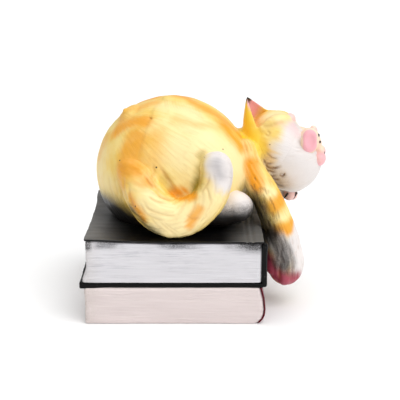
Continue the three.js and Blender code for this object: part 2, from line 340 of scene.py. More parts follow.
def sculpt(forms, voxel, cut_below=None):
    """Meshes forms that run into each other.

    Yields the name, points and quads of each form, and for each point its distance from the seam
    with the next form, which is negative where it runs on under that one.
    """
    floor = np.min([form[1] for _, form, _ in forms], axis=0) - MARGIN
    ceiling = np.max([form[2] for _, form, _ in forms], axis=0) + MARGIN
    shape = np.ceil((ceiling - floor) / voxel).astype(int) + 1
    union = np.full(shape, MARGIN, np.float32)
    nearest = union.copy()
    second = union.copy()
    windows = []
    for _, (distance, low, high), blend in forms:
        first, last = field_window(low, high, floor, voxel)
        last = np.minimum(last, shape)
        axes = [floor[i] + voxel * np.arange(first[i], last[i]) for i in range(3)]
        points = np.stack(np.meshgrid(*axes, indexing="ij"), axis=-1)
        own = distance(points).astype(np.float32)
        here = tuple(slice(a, b) for a, b in zip(first, last))
        union[here] = smooth_minimum(union[here], own, blend)
        second[here] = np.minimum(second[here], np.maximum(nearest[here], own))
        nearest[here] = np.minimum(nearest[here], own)
        windows.append((here, first, own))
    for (name, _, _), (here, first, own) in zip(forms, windows):
        others = np.where(own <= nearest[here], second[here], nearest[here])
        beyond = own - others
        solid = union[here] + DIVE * np.maximum(beyond, 0)
        solid = np.maximum(solid, beyond - OVERLAP)
        if cut_below is not None and name not in HANGING:
            height = floor[2] + voxel * np.arange(first[2], first[2] + solid.shape[2])
            solid = np.maximum(solid, cut_below - height)
        points, quads = mesh_field(solid, voxel)
        points, quads = largest_part(points, quads)
        cell = np.clip(np.round(points / voxel).astype(int), 0, np.array(beyond.shape) - 1)
        seam = -beyond[cell[:, 0], cell[:, 1], cell[:, 2]]
        yield name, points + floor + first * voxel, quads, seam


def mesh_field(field, voxel):
    """The points and quads of a field's zero surface, in millimetres from the field's corner."""
    band = 3 * voxel
    padded = np.pad(np.clip(field, -band, band), 1, constant_values=band)
    grid = openvdb.FloatGrid(band)
    grid.gridClass = openvdb.GridClass.LEVEL_SET
    grid.copyFromArray(padded)
    points, quads = grid.convertToQuads(isovalue=0.0)
    return (points - 1.0) * voxel, quads[:, ::-1].astype(np.int64)


def largest_part(points, quads):
    """Drops every loose scrap but the largest connected part."""
    root = np.arange(len(points))
    edges = np.vstack([quads[:, [0, 1]], quads[:, [1, 2]], quads[:, [2, 3]]])
    while True:
        ends = root[edges]
        edges = edges[ends[:, 0] != ends[:, 1]]
        ends = ends[ends[:, 0] != ends[:, 1]]
        if len(ends) == 0:
            break
        np.minimum.at(root, ends.max(axis=1), ends.min(axis=1))
        while not np.array_equal(root, root[root]):
            root = root[root]
    names, counts = np.unique(root[quads[:, 0]], return_counts=True)
    kept = root == names[np.argmax(counts)]
    quads = quads[kept[quads[:, 0]]]
    renumber = np.cumsum(kept) - 1
    return points[kept], renumber[quads]


# ---- Fur ----
# Hair coordinates: how far along the hair, and across it in two directions, in strands.

STRAND_LENGTH = 15.0
STRAND_WIDTH = 2.0


def hair_round_axis(points, centre, axis, pole_reach):
    """Hair that runs from one pole of a ball to the other."""
    axis = np.array(axis, float) / np.linalg.norm(axis)
    local = points - np.array(centre, float)
    height = local @ axis
    across = local - height[:, None] * axis
    spread = np.linalg.norm(across, axis=1, keepdims=True) + 1e-6
    angle = np.arctan2(spread[:, 0], height)
    side = np.cross(axis, [0.31, 0.52, 0.79])
    side /= np.linalg.norm(side)
    other = np.cross(axis, side)
    unit = across / spread * pole_reach
    along = angle * pole_reach / STRAND_LENGTH
    return np.stack([along, unit @ side / STRAND_WIDTH, unit @ other / STRAND_WIDTH], axis=1)


def hair_on_limb(points, line, radius, twist=0.0):
    """Hair that runs down a limb, turning round it by twist radians from end to end."""
    curve = smooth_curve(line)
    _, share, spot = along_curve(points, curve)
    length = np.sum(np.linalg.norm(np.diff(curve, axis=0), axis=1))
    out = points - spot
    out /= np.linalg.norm(out, axis=1, keepdims=True) + 1e-6
    ahead = curve[-1] - curve[0]
    ahead /= np.linalg.norm(ahead)
    side = np.cross(ahead, [0.2, 0.9, 0.3])
    side /= np.linalg.norm(side)
    other = np.cross(ahead, side)
    angle = np.arctan2(out @ other, out @ side) + twist * share
    around = radius / STRAND_WIDTH
    return np.stack([share * length / STRAND_LENGTH, np.cos(angle) * around,
                     np.sin(angle) * around], axis=1)


BALL_HAIR = {          # centre, axis from pole to pole, radius
    "cat_body": ((-3, 3, 121), (-0.75, -0.1, 0.8), 68),
    "neck": ((70, 10, 124), (-0.3, 0, -1), 34),
    "head": ((95, 14, 142), (-1, 0, 0.35), 34),
    "near_cheek": ((109, 2, 130), (-1, 0.2, -0.25), 28),
    "far_cheek": ((108, 36, 122), (-1, 0.2, -0.25), 24),
}
LIMB_HAIR = {          # line, radius, twist
    "tail": (TAIL_LINE, 17, 2.2),
    "near_foreleg": (NEAR_LEG_LINE, 15, 0.6),
    "far_foreleg": (FAR_LEG_LINE, 13, 0.6),
}

# How deep the combing is: locks, strands and short nicks
COMBING = {
    "cat_body": (0.3, 0.11, 0.12), "neck": (0.5, 0.3, 0.3), "head": (0.2, 0.12, 0.1),
    "tail": (1.2, 0.45, 0.3), "near_foreleg": (0.5, 0.4, 0.75), "far_foreleg": (0.5, 0.3, 0.5),
    "near_ear": (0.2, 0.1, 0.0), "far_ear": (0.2, 0.1, 0.0), "near_cheek": (0.15, 0.1, 0.3),
}


def hair_of(name, points):
    """The hair coordinates of points on a form."""
    if name in BALL_HAIR:
        return hair_round_axis(points, *BALL_HAIR[name])
    if name in LIMB_HAIR:
        return hair_on_limb(points, *LIMB_HAIR[name])
    return points / np.array([STRAND_LENGTH, STRAND_WIDTH * 2, STRAND_WIDTH * 2])


# Tool marks cut from the front: forms, line, half width, depth.
CUT_AIM = np.array([0.0, 0.956, -0.292])
CUT_UP = np.array([0.0, 0.292, 0.956])
MARK_REACH = 40          # no mark reaches further than this from its middle
HAUNCH = ("cat_body",)
TAIL = ("tail", "cat_body")
BROW = ("head", "near_cheek")
CHEEK = ("near_cheek", "head", "neck")
LEG = ("near_foreleg", "near_toe_inner", "near_toe_middle", "near_toe_outer")
BRISTLES = ("near_foreleg",)
TOOL_MARKS = [
    (HAUNCH, [(-21, -30, 178), (-22, -31, 177)], 1.3, 1.6),
    (HAUNCH, [(-51, -45, 124), (-48, -46, 115), (-48, -44, 103)], 0.9, 0.7),
    (HAUNCH, [(-56, -40, 128), (-53, -42, 116), (-51, -43, 107)], 0.9, 0.6),
    (HAUNCH, [(-61, -34, 126), (-59, -36, 114), (-55, -38, 104)], 0.9, 0.5),
    (TAIL, [(-45, -57, 131), (-44, -63, 120), (-41, -59, 107)], 0.9, 0.7),
    (TAIL, [(-40, -66, 126), (-39, -68, 116), (-35, -72, 104)], 1.0, 0.8),
    (TAIL, [(-26, -64, 134), (-22, -67, 129), (-17, -68, 123)], 0.9, 1.3),
    (TAIL, [(-23, -63, 131), (-18, -66, 126), (-13, -67, 122)], 0.8, 0.9),
    (TAIL, [(-19, -57, 142), (-18, -58, 135), (-21, -64, 128)], 1.0, 0.7),
    (TAIL, [(-13, -58, 140), (-7, -60, 131), (-2, -61, 123), (2, -61, 115)], 1.5, 1.5),
    (TAIL, [(-15, -73, 119), (-8, -71, 115), (-1, -70, 113.5)], 1.0, 1.6),
    (TAIL, [(-23, -75, 118), (-16, -76, 113.5), (-8, -76, 111.5)], 0.9, 1.0),
    (TAIL, [(-27, -76, 115), (-23, -78, 108), (-16, -80, 104.5), (-6, -81, 102), (5, -81, 102)],
     1.0, 0.8),
    (TAIL, [(-30, -76, 113), (-25, -78, 104), (-17, -80, 99), (-6, -81, 97)], 0.9, 0.6),
    (TAIL, [(-13, -81, 97), (-5, -80, 89), (2, -76, 82)], 0.9, 0.6),
    (TAIL, [(-9, -82, 97), (-3, -82, 91), (4, -80, 86)], 0.7, 0.6),
    (TAIL, [(10, -82, 103), (16, -82, 99), (23, -81, 100)], 1.0, 0.7),
    (TAIL, [(24, -75, 121), (29, -74, 129), (31, -72, 136)], 0.9, 0.9),
    (TAIL, [(26, -73, 129), (30, -78, 122), (31, -80, 114)], 0.9, 0.8),
    (TAIL, [(34, -72, 138), (36, -74, 128), (35, -76, 118)], 0.8, 0.5),
    (TAIL, [(-21, -79, 99), (-14, -80, 92), (-6, -78, 86)], 0.8, 0.6),
    (BROW, [(77, -9, 166), (85, -10, 165.5), (95, -9, 168), (104, -4, 168.5)], 1.8, 0.9),
    (BROW, [(84, -11, 162), (86.5, -13, 160), (85, -14, 157.5), (82.5, -13, 159.5)], 0.8, 0.8),
    (CHEEK, [(84, -22, 144), (89, -23, 139), (95, -23, 138.5)], 0.7, 0.5),
    (CHEEK, [(83, -31, 138), (85, -30, 133), (90, -27, 130), (97, -24, 131)], 0.9, 1.2),
    (CHEEK, [(83, -35, 134), (86, -33, 130), (92, -28, 127)], 0.8, 1.1),
    (CHEEK, [(85, -38, 129), (88, -34, 125), (94, -27, 123)], 0.8, 1.0),
    (CHEEK, [(99.5, -21, 122.5), (101, -21, 121.5)], 1.3, 1.6),
    (CHEEK, [(90, -24, 118), (95, -22, 113), (101, -19, 110)], 0.8, 0.8),
    (CHEEK, [(81, -30, 140), (84, -30, 136), (90, -27, 135)], 0.8, 0.9),
    (CHEEK, [(88, -26, 123), (92, -24, 119), (97, -22, 118)], 0.7, 0.9),
    (CHEEK, [(92, -24, 114), (96, -22, 108), (102, -19, 105)], 0.8, 0.9),
    (LEG, [(96, -46, 44), (95.5, -48, 37), (97, -48, 29)], 1.1, 1.3),
    (LEG, [(107, -44, 44), (107, -46, 36), (107, -45, 28)], 1.1, 1.1),
    (LEG, [(98, -50, 62), (96, -50, 54), (98, -50, 47)], 0.9, 0.8),
]
FAN_TOP = [(-9, -10, 190), (-3, -10, 191), (5, -10, 190), (12, -14, 188), (21, -16, 184)]
FAN_FOOT = [(-8, -24, 186), (0, -25, 185), (9, -26, 184), (18, -27, 180), (26, -29, 175)]
HAUNCH_EDGE = [(-2, -9, 191), (-10, -13, 190), (-17, -20, 186), (-21, -29, 180),
               (-24, -38, 171), (-27, -44, 163), (-30, -49, 151), (-33, -56, 138)]
HAUNCH_RISE = 0.9
BRISTLE_SEED = 5
BRISTLE_COUNT = 34
CUT_SPREAD = 1.3         # how much wider a mark is at the surface than the tool
FULL_STAIN_CUT = 1.4     # the depth at which the wash in a mark is full
HAND_WAVE = 0.35         # the unevenness of a surface smoothed by hand
SEAM_FADE = 2.2          # how far from a seam the combing is whole


def fan_marks():
    """The strokes of the tuft that fans out over the top of the haunch."""
    tops, feet = smooth_curve(FAN_TOP, 3), smooth_curve(FAN_FOOT, 3)
    for top, foot in zip(tops, feet):
        middle = 0.5 * (top + foot) + (-0.8, 0, 0)
        yield HAUNCH, [tuple(top), tuple(middle), tuple(foot)], 0.9, 0.4


def bristle_marks():
    """Short strokes scattered down the near foreleg, most of them on its shaded side."""
    chance = np.random.default_rng(BRISTLE_SEED)
    line = smooth_curve(NEAR_LEG_LINE[1:6], 8)
    for _ in range(BRISTLE_COUNT):
        start, reach = chance.integers(6, 28), chance.integers(2, 4)
        aside = -11 * chance.random() ** 0.8 + 3
        shift = np.array([aside, 0, 0.4 * aside])
        slant = np.array([chance.uniform(-2.5, 0.5), 0, 0])
        yield BRISTLES, [line[start] + shift, line[start + reach] + shift + slant], 0.45, 0.55


def seen_from_front(points):
    return np.stack([points[..., 0], points @ CUT_UP], axis=-1)


def cut_marks(name, points, normals):
    """How deep the tool marks go at each point, the wash left in them, and the ink in some."""
    depth, wash, ink = np.zeros((3, len(points)), np.float32)
    flat = seen_from_front(points)
    facing = smoothstep(0.05, 0.3, -(normals @ CUT_AIM))
    for forms, line, half_width, cut in itertools.chain(TOOL_MARKS, fan_marks(), bristle_marks()):
        if name not in forms:
            continue
        line = np.array(line, float)
        middle = flat - seen_from_front(line.mean(axis=0))
        near = np.flatnonzero(np.abs(middle).max(axis=1) < MARK_REACH)
        gap, share, _ = along_curve(flat[near], smooth_curve(seen_from_front(line), 3))
        ends = smoothstep(-0.02, 0.25, share) * smoothstep(1.02, 0.75, share)
        profile = np.exp(-(gap / (CUT_SPREAD * half_width)) ** 2)
        profile = profile * (0.25 + 0.75 * ends) * facing[near]
        depth[near] = np.maximum(depth[near], cut * profile)
        stain = profile * min(cut, FULL_STAIN_CUT) / FULL_STAIN_CUT
        wash[near] = np.maximum(wash[near], stain)
        if forms in (CHEEK, BRISTLES):
            ink[near] = np.maximum(ink[near], stain)
    return depth, wash, ink


def haunch_step(points, normals):
    """The thigh stands a little proud of the back along one edge."""
    flat = seen_from_front(points)
    edge = smooth_curve(seen_from_front(np.array(HAUNCH_EDGE, float)))
    gap, share, spot = along_curve(flat, edge)
    side = np.where(flat[:, 0] > spot[:, 0], gap, -gap)
    rise = smoothstep(-2.2, 2.2, side) * (1 - smoothstep(4, 34, side))
    ends = smoothstep(0.0, 0.08, share) * smoothstep(1.0, 0.8, share)
    return HAUNCH_RISE * rise * ends * smoothstep(0.0, 0.3, -(normals @ CUT_AIM))


def comb(name, points, normals, hair, seam):
    """Presses fur into a surface, less so at its seams. Returns new points, the wash and the ink."""
    lock_depth, strand_depth, nick_depth = COMBING.get(name, (0.0, 0.0, 0.0))
    marks, wash, ink = cut_marks(name, points, normals)
    shape = HAND_WAVE * noise(points / 14.0, 11)
    if name == "cat_body":
        shape = shape + haunch_step(points, normals)
    if lock_depth:
        bend = hair + 0.6 * noise(points / 20.0, 5)[:, None]
        locks = 0.3 - np.abs(noise(bend * [1.1, 0.42, 0.42], 21))
        strands = noise(bend * [1.4, 1.0, 1.0], 33)
        nicks = smoothstep(0.2, 0.6, noise(bend * [2.8, 0.9, 0.9], 35))
        patches = smoothstep(-0.2, 0.5, noise(points / 16.0, 36))
        fade = 0.35 + 0.65 * smoothstep(-0.5, 0.3, noise(points / 24.0, 8))
        shape = shape + lock_depth * fade * locks + strand_depth * strands
        shape = shape - nick_depth * nicks * patches
        wash = np.maximum(wash, 0.8 * nicks * patches * min(1, nick_depth * 1.6))
        wash = np.maximum(wash, 0.35 * smoothstep(0.25, 0.8, -strands) * min(1, strand_depth * 2))
    inland = smoothstep(0.0, SEAM_FADE, seam)
    shape = shape * (0.1 + 0.9 * inland) - marks * (0.4 + 0.6 * inland)
    return points + normals * shape[:, None], wash, ink


# ---- Airbrushed masks ----
# A job is (forms, layer, strokes), and a stroke is (points, radius, softness, strength).

FUR = ("cat_body", "neck", "tail", "head", "near_foreleg", "far_foreleg", "near_ear", "far_ear")
FACE = ("head", "neck", "near_cheek", "far_cheek", "chin", "nose")
PAW = ("near_foreleg", "near_toe_inner", "near_toe_middle", "near_toe_outer")
FAR_PAW = ("far_foreleg", "far_toe_inner", "far_toe_outer")
MOUSE = ("mouse_body", "mouse_head", "mouse_snout", "mouse_near_ear", "mouse_far_ear")
SPRAY_JOBS = [
    (FUR, "cream", [
        ([(12, -54, 155), (26, -46, 157), (16, -36, 175)], 13, 18, 0.9),
        ([(-8, -22, 186), (4, -24, 184), (16, -26, 180)], 6, 8, 0.75),
        ([(-10, -40, 172), (0, -50, 163)], 8, 14, 0.5),
        ([(44, -44, 142), (56, -34, 142), (62, -30, 122)], 13, 12, 0.95),
        ([(36, -46, 156), (48, -38, 146), (52, -40, 124)], 9, 12, 0.7),
        ([(-6, -52, 148), (8, -56, 138), (16, -56, 126)], 9, 14, 0.6),
        ([(98, -4, 170), (88, 4, 172), (104, 8, 168)], 7, 10, 0.9),
        ([(0, -80, 92), (10, -84, 88), (-10, -78, 92)], 10, 10, 0.85),
        ([(-24, -76, 112), (-10, -82, 106), (6, -84, 102), (16, -82, 106)], 7, 8, 0.75),
        ([(-28, -66, 124), (-22, -72, 114), (0, -84, 96), (24, -80, 102), (36, -76, 118)], 8, 8, 0.8),
        ([(26, -78, 112), (30, -78, 120)], 7, 6, 0.8),
        ([(-66, -20, 142), (-68, -18, 122), (-60, -34, 112)], 9, 12, 0.55),
        ([(76, -10, 152), (79, -24, 144)], 3, 4, 0.8),
        ([(82, -42, 114), (90, -42, 110)], 4, 5, 0.8),
        ([(104, -44, 93), (94, -50, 90)], 3, 5, 0.7),
        ([(-10, 66, 150), (20, 60, 150)], 16, 16, 0.8),
    ]),
    (FUR, "orange", [
        ([(-20, -10, 188), (-38, -8, 181), (-50, -12, 172)], 4, 8, 0.6),
        ([(-25, -32, 176), (-38, -26, 174), (-54, -20, 165)], 5, 7, 0.85),
        ([(-36, -42, 160), (-40, -46, 150), (-42, -50, 140)], 9, 9, 0.75),
        ([(-44, -50, 134), (-44, -54, 124)], 7, 9, 0.6),
        ([(-66, -14, 156), (-72, -12, 140)], 4, 8, 0.45),
        ([(-16, -46, 165), (-20, -52, 150), (-24, -56, 142)], 8, 12, 0.4),
        ([(3, 0, 191), (19, -8, 187), (34, -12, 180), (49, -12, 167), (61, -8, 152)], 5, 8, 0.85),
        ([(44, -24, 169), (52, -28, 160), (58, -27, 150)], 5.5, 8, 0.95),
        ([(1, -36, 178), (18, -37, 174), (36, -33, 166), (50, -27, 154)], 2.5, 7, 0.5),
        ([(-22, 12, 187), (-41, 20, 175), (-50, 34, 158)], 8, 8, 0.9),
        ([(10, 14, 190), (20, 32, 180), (24, 50, 162), (20, 60, 140)], 7, 8, 0.8),
        ([(44, 14, 174), (50, 34, 158), (52, 48, 138)], 7, 8, 0.8),
        ([(-34, -58, 137), (-30, -63, 130), (-25, -66, 127)], 5, 7, 0.85),
        ([(-35, -70, 116), (-32, -74, 108), (-27, -78, 100)], 3.5, 5, 0.9),
        ([(-18, -66, 128), (-14, -71, 121)], 1.5, 4, 0.4),
        ([(0, -62, 117), (9, -69, 116), (17, -72, 116)], 4, 5, 1.0),
        ([(22, -80, 108), (17, -83, 101), (14, -82, 94)], 3, 4.5, 0.85),
        ([(70, -31, 134), (72, -36, 128), (74, -40, 119)], 6, 6, 1.0),
        ([(64, -14, 150), (70, -24, 144)], 4, 6, 0.3),
        ([(99, -36, 105), (96, -44, 102), (88, -47, 100)], 5.5, 6, 0.95),
        ([(109, -42, 82), (103, -49, 79), (96, -51, 77)], 6, 6, 0.9),
        ([(74, 24, 186), (82, 28, 176), (88, 29, 168)], 3, 4, 0.25),
        ([(82, -18, 148), (86, -20, 140)], 5, 6, 0.3),
        ([(72, 60, 168), (80, 52, 160)], 8, 7, 0.7),
        ([(70, 48, 104), (86, 50, 96)], 9, 6, 0.9),
    ]),
    # painted shade: darkened yellow beside the tail tip, in a crease of the tail and low down by the
    # books
    (FUR, "painted_shade", [
        ([(23, -54, 146), (23, -56, 138), (23, -60, 130), (21, -66, 121)], 4.5, 5, 0.95),
        ([(27, -64, 146), (26, -68, 138), (24, -72, 128)], 1.5, 4.5, 0.6),
        ([(-8, -60, 130), (-3, -61, 121)], 1, 5, 0.4),
        ([(-62, -28, 106), (-52, -40, 102), (-44, -50, 98)], 3, 9, 0.45),
        ([(60, -36, 112), (66, -40, 104)], 5, 8, 0.5),
        ([(84, -44, 100), (88, -48, 94)], 3, 6, 0.5),
    ]),
    (("tail",), "white", [
        ([(42, -62, 150), (42, -68, 141), (44, -70, 134)], 12, 7, 1.0),
        ([(33, -70, 148), (34, -74, 142)], 5, 5, 0.7),
    ]),
    (PAW, "white", [
        ([(111, -48, 66), (113, -48, 54), (114, -46, 42), (112, -42, 34)], 8, 5, 1.0),
        ([(117, -36, 72), (119, -36, 40)], 12, 4, 1.0),
        ([(97, -50, 70), (101, -52, 63), (102, -52, 52)], 4, 6, 0.9),
        ([(88, -46, 66), (95, -51, 56), (97, -52, 44)], 6, 7, 0.9),
    ]),
    (FACE, "white", [
        ([(126, -10, 143), (120, -10, 128), (115, -5, 103)], 31, 7, 1.0),
        ([(97, -17, 146), (102, -15, 151), (108, -10, 155)], 8, 7, 0.95),
        ([(108, 36, 122), (116, 30, 112)], 25, 7, 1.0),
        ([(88, -20, 132), (92, -20, 124), (98, -20, 114)], 5, 10, 0.5),
    ]),
    (FAR_PAW, "white", [([(94, 34, 98), (122, 34, 92)], 17, 4, 1.0)]),
    (FACE, "brown", [
        ([(82, -18, 141), (86, -20, 133), (92, -20, 125), (102, -20, 114)], 5, 9, 0.22),
        ([(80, -20, 136), (84, -21, 131), (90, -20, 127)], 2, 5, 0.3),
        ([(86, -18, 124), (90, -16, 119), (97, -16, 114)], 2, 4, 0.3),
        ([(99.5, -21, 122.5), (101, -21, 121.5)], 0.8, 2, 0.9),
    ]),
    (FACE, "grey", [([(88, -26, 116), (94, -24, 108), (102, -18, 103)], 4, 7, 0.5)]),
    (FACE, "pink", [
        ([(97, -6, 163), (104, -2, 160), (110, -4, 154)], 4, 8, 0.45),
    ]),
    (("near_ear", "head", "neck"), "yellow", [
        ([(64, 0, 186), (62, -2, 170), (66, -4, 156), (74, -14, 146)], 10, 8, 0.85),
    ]),
    (("near_ear",), "pink", [([(73, 9, 181), (77, 9, 170), (82, 6, 158)], 12, 5, 0.95)]),
    (("far_ear",), "pink", [([(80, 48, 166)], 10, 5, 1.0)]),
    (("near_ear",), "black", [
        ([(66, 3, 191), (69, 6, 185.5)], 3.6, 3.5, 1.0),
        ([(65, 3, 190), (62, 3, 184)], 1.5, 3, 0.8),
    ]),
    (("far_ear",), "black", [([(73, 57, 172)], 4, 4, 0.9)]),
    # black sprayed low down where the body, tail and leg meet the books: the casting's own black
    # spray, which also paints in the shade there
    (("cat_body", "neck", "tail", "near_foreleg"), "black", [
        ([(-58, -28, 89), (-50, -38, 84), (-41, -46, 81)], 8, 10, 1.0),
        ([(-38, -70, 104), (-28, -77, 94), (-16, -79, 86)], 3, 7, 0.8),
        ([(24, -66, 83), (34, -60, 90)], 3, 7, 0.8),
        ([(30, -52, 84), (52, -40, 88), (64, -36, 94)], 10, 10, 1.0),
        ([(74, -30, 106), (76, -34, 98)], 5, 8, 0.9),
    ]),
    (PAW, "black", [
        ([(74, -37, 99), (79, -41, 88), (87, -44, 72)], 6, 8, 0.95),
        ([(74, -39, 108), (79, -45, 98), (84, -48, 86), (91, -50, 76)], 3, 8, 0.75),
        ([(90, -46, 72), (96, -51, 61), (100, -52, 48)], 7, 8, 0.8),
        ([(92, -48, 44), (101, -51, 42), (107, -48, 38)], 2, 7, 0.5),
        ([(86, -38, 62), (86, -38, 48)], 3, 6, 0.6),
    ]),
    (PAW, "red", [
        ([(87, -42, 44), (91, -44, 35), (100, -48, 28), (109, -42, 28)], 8, 6, 1.0),
        ([(103, -50, 36), (110, -44, 34)], 3.5, 7, 0.8),
        ([(85, -38, 68), (85, -40, 50)], 2.5, 5, 0.55),
    ]),
    # painted shade: grey down the middle of the white tail tip
    (("tail",), "grey", [([(38, -72, 147), (41, -74, 138)], 3, 8, 0.75)]),
    # painted shadow: black in the gap between the mouse's near ear and the cat's cheek
    (("near_cheek",), "black", [([(118, -18, 142), (125, -16, 138)], 0.5, 2.0, 0.5)]),
    (("far_toe_inner",), "black", [([(108.3, 21, 91.5), (104.3, 20, 86)], 1.1, 0.4, 1.0)]),
    (("far_toe_outer",), "black", [([(117.6, 26.5, 90.5), (113.6, 25.5, 85)], 1.3, 0.4, 1.0)]),
    (("near_hind_paw", "far_hind_paw"), "red", [([(70, -50, 92)], 2, 5, 0.35)]),
    (MOUSE, "pink", [
        ([(123.6, -18, 157.5), (124, -18, 149)], 6.4, 1.0, 0.9),
        ([(135, -8, 136), (134, -8, 130)], 6, 5, 0.85),
        ([(140.5, -6, 143)], 2.5, 2, 0.8),
        ([(130, 10, 156)], 5, 2, 0.7),
    ]),
    (MOUSE, "black", [([(139.2, -9.2, 140.8)], 1.2, 0.6, 0.9)]),
]
UNDERSIDE_BLACK_AND_SHADE = {                          # the height at which black sprayed from below fades out: the casting's own black spray, which also paints in the shade under each form
    "cat_body": (86.0, 103.0), "neck": (90.0, 104.0), "near_hind_paw": (93.0, 111.0),
    "far_hind_paw": (82.0, 96.0),
}
RUMP_UNDERSIDE_SHADE_RISE = 9      # it climbs this much higher on the rump
FULL_COAT = {
    "far_cheek": ("white",), "chin": ("white",),
    "near_hind_paw": ("white",), "far_hind_paw": ("white",),
    "nose": ("pink",), "far_toe_inner": ("blush",), "far_toe_outer": ("blush",),
    "near_eyelid": ("blush",), "far_eyelid": ("blush",),
}
EAR_FACING = {"near_ear": (0.93, -0.36, 0.3), "far_ear": (0.93, 0.2, 0.3)}


def stroke_mask(points, strokes):
    """How far strokes cover each point."""
    kept = np.ones(len(points), np.float32)
    for line, radius, softness, strength in strokes:
        line = np.array(line, float)
        if len(line) == 1:
            gap = np.linalg.norm(points - line[0], axis=1)
        else:
            gap, _, _ = along_curve(points, line)
        kept *= 1 - strength * (1 - smoothstep(radius - softness / 2, radius + softness, gap))
    return 1 - kept


def raggedness(name):
    """How far the edge of a spray strays on a form."""
    if name in COMBING:
        return 1.8
    return 0.1 if name.startswith("far_toe") else 0.6


def airbrush(name, points, normals, hair):
    """The mask of each layer on one form, ragged along its hair."""
    drift = np.stack([noise(points / 11.0, seed) for seed in (41, 42, 43)], axis=1)
    ragged = points + raggedness(name) * drift
    if name in COMBING:
        ragged = ragged + 1.4 * noise(hair * [1.2, 0.8, 0.8], 44)[:, None]
    masks = {layer: np.zeros(len(points), np.float32) for layer in COAT_LAYERS}
    for layer in FULL_COAT.get(name, ()):
        masks[layer][:] = 1
    for forms, layer, strokes in SPRAY_JOBS:
        if name in forms:
            masks[layer] = np.maximum(masks[layer], stroke_mask(ragged, strokes))
    # painted shade: black from below, darkest where the form meets the books
    if name in UNDERSIDE_BLACK_AND_SHADE:
        low, high = UNDERSIDE_BLACK_AND_SHADE[name]
        rise = RUMP_UNDERSIDE_SHADE_RISE * smoothstep(-30, -60, points[:, 0])
        masks["black"] = np.maximum(masks["black"], 1 - smoothstep(low, high, ragged[:, 2] - rise))
    if name in EAR_FACING:
        inside = smoothstep(-0.1, 0.25, normals @ np.array(EAR_FACING[name]))
        masks["pink"] *= inside
        masks["orange"] *= 1 - masks["pink"]
    return masks


# ---- Meshes ----

def add_object(name, data):
    """A new object in the scene."""
    item = bpy.data.objects.new(name, data)
    bpy.context.scene.collection.objects.link(item)
    return item


def make_mesh(name, points, faces, hair=None, masks=None):
    """A smooth mesh object from points in millimetres. faces is an array of quads."""
    mesh = bpy.data.meshes.new(name)
    mesh.vertices.add(len(points))
    mesh.vertices.foreach_set("co", (points * MM).astype(np.float32).ravel())
    mesh.loops.add(faces.size)
    mesh.loops.foreach_set("vertex_index", faces.astype(np.int32).ravel())
    mesh.polygons.add(len(faces))
    mesh.polygons.foreach_set("loop_start", np.arange(0, faces.size, faces.shape[1], dtype=np.int32))
    mesh.polygons.foreach_set("use_smooth", np.ones(len(faces), bool))
    mesh.update(calc_edges=True)
    mesh.validate()
    if hair is not None:
        layer = mesh.attributes.new("hair", "FLOAT_VECTOR", "POINT")
        layer.data.foreach_set("vector", hair.astype(np.float32).ravel())
    for key, values in (masks or {}).items():
        layer = mesh.attributes.new(key, "FLOAT", "POINT")
        layer.data.foreach_set("value", values.astype(np.float32))
    return add_object(name, mesh)


def vertex_normals(points, quads):
    """Unit normals at the points, weighted by the areas of the faces round them."""
    corners = points[quads]
    face = np.cross(corners[:, 2] - corners[:, 0], corners[:, 3] - corners[:, 1])
    total = np.zeros_like(points)
    for i in range(4):
        np.add.at(total, quads[:, i], face)
    return total / (np.linalg.norm(total, axis=1, keepdims=True) + 1e-12)


# ---- Materials ----

def srgb(red, green, blue):
    """A linear colour from 8-bit sRGB."""
    def linear(value):
        value /= 255
        return value / 12.92 if value <= 0.04045 else ((value + 0.055) / 1.055) ** 2.4
    return (linear(red), linear(green), linear(blue), 1.0)


